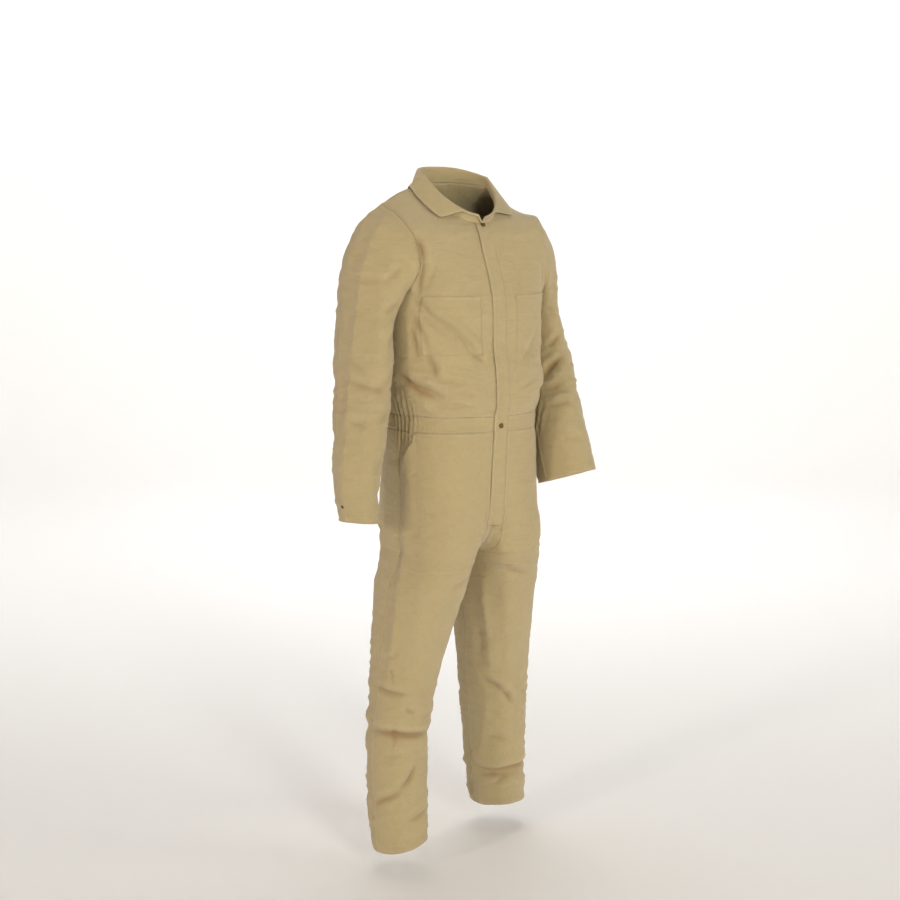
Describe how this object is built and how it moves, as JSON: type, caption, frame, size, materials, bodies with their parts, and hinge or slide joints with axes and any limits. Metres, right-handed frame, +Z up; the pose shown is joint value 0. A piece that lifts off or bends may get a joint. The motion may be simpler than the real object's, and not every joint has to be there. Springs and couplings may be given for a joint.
{
  "type": "boiler suit",
  "caption": "Whole-body cotton work suit with turned-down collar, covered front opening, gathered waistband, chest patch pockets and large hip pockets, kept in its worn pose.",
  "frame": {"origin": "middle between the shoulders at the height of the neck's back, where the wearer's shoulders carry the suit", "axes": "+Z up, -Y the way the wearer faces, +X to the wearer's left"},
  "size_m": [0.6135, 0.3368, 1.4929],
  "materials": {
    "cloth": "washed khaki cotton twill, matt",
    "snap": "aged brass, darkened, satin"
  },
  "bodies": {
    "root": {"bodice_front_right": "cloth", "bodice_front_left": "cloth", "bodice_back": "cloth", "waistband_front_right": "cloth", "waistband_front_left": "cloth", "waistband_back": "cloth", "trouser_front_right": "cloth", "trouser_front_left": "cloth", "trouser_back_right": "cloth", "trouser_back_left": "cloth", "sleeve_right": "cloth", "sleeve_left": "cloth", "front_placket": "cloth", "chest_pocket_right": "cloth", "chest_pocket_left": "cloth", "hip_pocket_right": "cloth", "hip_pocket_left": "cloth", "collar": "cloth", "snap_neck": "snap", "snap_waist": "snap", "snap_cuff_right": "snap", "snap_cuff_left": "snap"}
  },
  "joints": []
}
